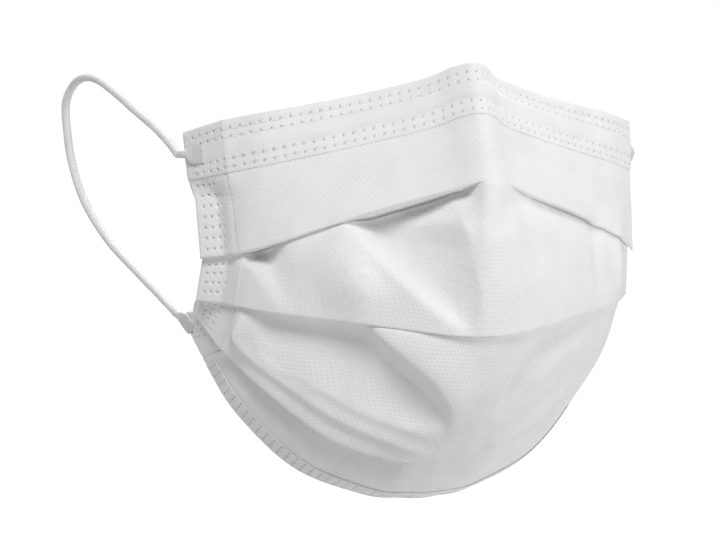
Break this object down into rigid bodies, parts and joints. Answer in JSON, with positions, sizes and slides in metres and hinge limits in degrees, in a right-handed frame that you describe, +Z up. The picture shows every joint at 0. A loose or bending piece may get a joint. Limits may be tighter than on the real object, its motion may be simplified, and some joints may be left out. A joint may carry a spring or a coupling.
{
  "type": "pleated disposable face mask",
  "caption": "Worn-shape pleated face mask of outer, filter and inner plies with a wire-stiffened top hem, welded side bands and elastic ear loops.",
  "frame": {"origin": "centre of the face seal, midway between the two side edges at half their height", "axes": "+Z up the wearer's face, -Y the way the mask faces, +X to the viewer's right, X = 0 the plane of symmetry"},
  "size_m": [0.1686, 0.129, 0.1258],
  "materials": {
    "outer_nonwoven": "matte",
    "filter_nonwoven": "matte",
    "inner_nonwoven": "matte",
    "hem_strip": "matte",
    "weld_band": "matte",
    "nose_wire": "satin",
    "loop_weld": "satin",
    "elastic_cord": "matte"
  },
  "bodies": {
    "upper_panel": {"outer_ply_upper": "outer_nonwoven", "filter_ply_upper": "filter_nonwoven", "inner_ply_upper": "inner_nonwoven", "top_hem": "hem_strip", "nose_wire": "nose_wire", "left_weld_band": "weld_band", "right_weld_band": "weld_band", "upper_left_loop_weld": "loop_weld", "lower_left_loop_weld": "loop_weld", "upper_right_loop_weld": "loop_weld", "lower_right_loop_weld": "loop_weld"},
    "second_panel": {"outer_ply_second": "outer_nonwoven", "filter_ply_second": "filter_nonwoven", "inner_ply_second": "inner_nonwoven"},
    "third_panel": {"outer_ply_third": "outer_nonwoven", "filter_ply_third": "filter_nonwoven", "inner_ply_third": "inner_nonwoven"},
    "lower_panel": {"outer_ply_lower": "outer_nonwoven", "filter_ply_lower": "filter_nonwoven", "inner_ply_lower": "inner_nonwoven", "bottom_hem": "hem_strip"},
    "left_loop": {"left_ear_loop": "elastic_cord"},
    "right_loop": {"right_ear_loop": "elastic_cord"}
  },
  "joints": [
    {"name": "first_pleat", "type": "hinge", "parent": "upper_panel", "child": "second_panel", "pos_m": [0, -0.023, -0.008], "axis": [-1, 0, 0], "range_deg": [-2, 12]},
    {"name": "second_pleat", "type": "hinge", "parent": "second_panel", "child": "third_panel", "pos_m": [0, -0.0195, -0.031], "axis": [-1, 0, 0], "range_deg": [-2, 12]},
    {"name": "third_pleat", "type": "hinge", "parent": "third_panel", "child": "lower_panel", "pos_m": [0, 0.008, -0.045], "axis": [-1, 0, 0], "range_deg": [-2, 12]},
    {"name": "left_loop_swing", "type": "hinge", "parent": "upper_panel", "child": "left_loop", "pos_m": [-0.0735, -0.003, 0.02], "axis": [-0.0938, -0.3335, 0.9381], "range_deg": [-60, 90]},
    {"name": "right_loop_swing", "type": "hinge", "parent": "upper_panel", "child": "right_loop", "pos_m": [0.0735, -0.003, 0.02], "axis": [-0.0938, 0.3335, -0.9381], "range_deg": [-60, 90]}
  ]
}
